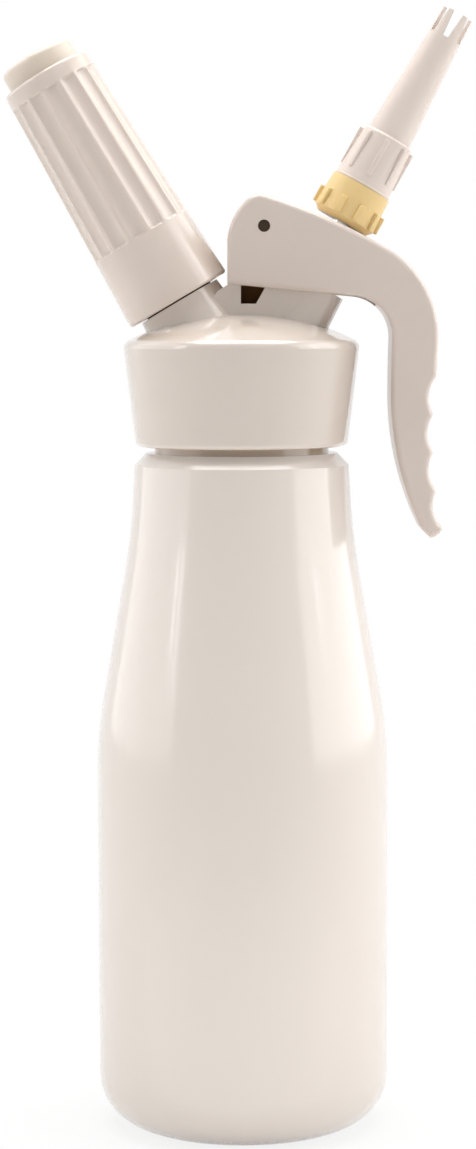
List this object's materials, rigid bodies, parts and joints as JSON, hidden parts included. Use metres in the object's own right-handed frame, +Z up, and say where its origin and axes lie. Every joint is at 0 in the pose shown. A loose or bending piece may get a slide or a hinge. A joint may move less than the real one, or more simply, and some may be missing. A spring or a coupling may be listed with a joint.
{
  "type": "whipped cream dispenser",
  "caption": "Free-standing whipped cream dispenser: long-shouldered bottle, screw-on domed head, press lever, leaning charger holder and toothed piping tip.",
  "frame": {"origin": "centre of the bottle's flat base", "axes": "+Z up along the bottle's axis, +X towards the lever and the piping tip, +Y away from the viewer of the picture"},
  "size_m": [0.1296, 0.082, 0.3134],
  "materials": {
    "white_paint": "high gloss warm white paint",
    "white_gloss_plastic": "gloss moulded",
    "white_lever_plastic": "satin moulded",
    "cup_plastic": "satin moulded",
    "yellow_plastic": "satin moulded, straw yellow",
    "clear_white_plastic": "translucent milky",
    "polished_steel": "polished",
    "dark_steel": "dull",
    "spring_steel": "bright drawn wire",
    "charger_steel": "zinc plated",
    "brass": "turned",
    "white_rubber": "matt",
    "dark_rubber": "matt"
  },
  "bodies": {
    "bottle": {"bottle": "white_paint"},
    "head_seal": {"head_gasket": "white_rubber"},
    "head": {"head_body": "white_gloss_plastic", "hinge_pin": "dark_steel", "inlet_connector": "brass", "inlet_gasket": "dark_rubber", "inlet_nut": "brass", "piercing_pin": "polished_steel", "charger_seal": "dark_rubber", "check_valve_plug": "brass", "check_valve_spring": "spring_steel", "valve_sleeve": "brass", "guide_bush": "brass", "return_spring": "spring_steel"},
    "lever": {"lever": "white_lever_plastic"},
    "valve": {"piston_stem": "polished_steel", "piston_o_ring": "dark_rubber", "valve_seal": "dark_rubber", "seal_nut": "polished_steel", "thrust_washer": "polished_steel", "nozzle_holder": "yellow_plastic"},
    "tip_ring": {"tip_seal": "dark_rubber"},
    "tip": {"nozzle_tip": "clear_white_plastic"},
    "charger": {"gas_charger": "charger_steel"},
    "holder": {"charger_cup": "cup_plastic", "charger_sleeve": "white_lever_plastic"},
    "poppet": {"check_valve_poppet": "dark_rubber"}
  },
  "joints": [
    {"name": "head_lift", "type": "slide", "parent": "bottle", "child": "head_seal", "axis": [0, 0, 1], "range_m": [0, 0.02]},
    {"name": "head_turn", "type": "hinge", "parent": "head_seal", "child": "head", "pos_m": [0, 0, 0.2102], "axis": [0, 0, 1], "range_deg": [0, 1800]},
    {"name": "lever_press", "type": "hinge", "parent": "head", "child": "lever", "pos_m": [0.00635, 0, 0.253], "axis": [0, 1, 0], "range_deg": [0, 9.5], "stiffness_Nm_per_rad": 0.5, "springref_deg": -14.32},
    {"name": "valve_stroke", "type": "slide", "parent": "head", "child": "valve", "axis": [-0.4909, 0, -0.8712], "range_m": [0, 0.0032], "stiffness_N_per_m": 150, "springref_m": -0.01, "deforming": ["return_spring"]},
    {"name": "tip_travel", "type": "slide", "parent": "valve", "child": "tip_ring", "axis": [0.4909, 0, 0.8712], "range_m": [0, 0.0075]},
    {"name": "tip_turn", "type": "hinge", "parent": "tip_ring", "child": "tip", "pos_m": [0.03701, 0, 0.27019], "axis": [0.4909, 0, 0.8712], "range_deg": [0, 1800]},
    {"name": "holder_travel", "type": "slide", "parent": "head", "child": "charger", "axis": [-0.506, 0, 0.8625], "range_m": [0, 0.012]},
    {"name": "holder_turn", "type": "hinge", "parent": "charger", "child": "holder", "pos_m": [-0.02328, 0, 0.24267], "axis": [-0.506, 0, 0.8625], "range_deg": [0, 2160]},
    {"name": "check_lift", "type": "slide", "parent": "head", "child": "poppet", "axis": [0.506, 0, -0.8625], "range_m": [0, 0.0012], "stiffness_N_per_m": 150, "springref_m": -0.003, "deforming": ["check_valve_spring"]}
  ],
  "couplings": [
    {"joint": "head_lift", "follows": "head_turn", "m_per_rad": 0.00063662},
    {"joint": "valve_stroke", "follows": "lever_press", "m_per_rad": 0.018277},
    {"joint": "tip_travel", "follows": "tip_turn", "m_per_rad": 0.00023873},
    {"joint": "holder_travel", "follows": "holder_turn", "m_per_rad": 0.00031831}
  ]
}
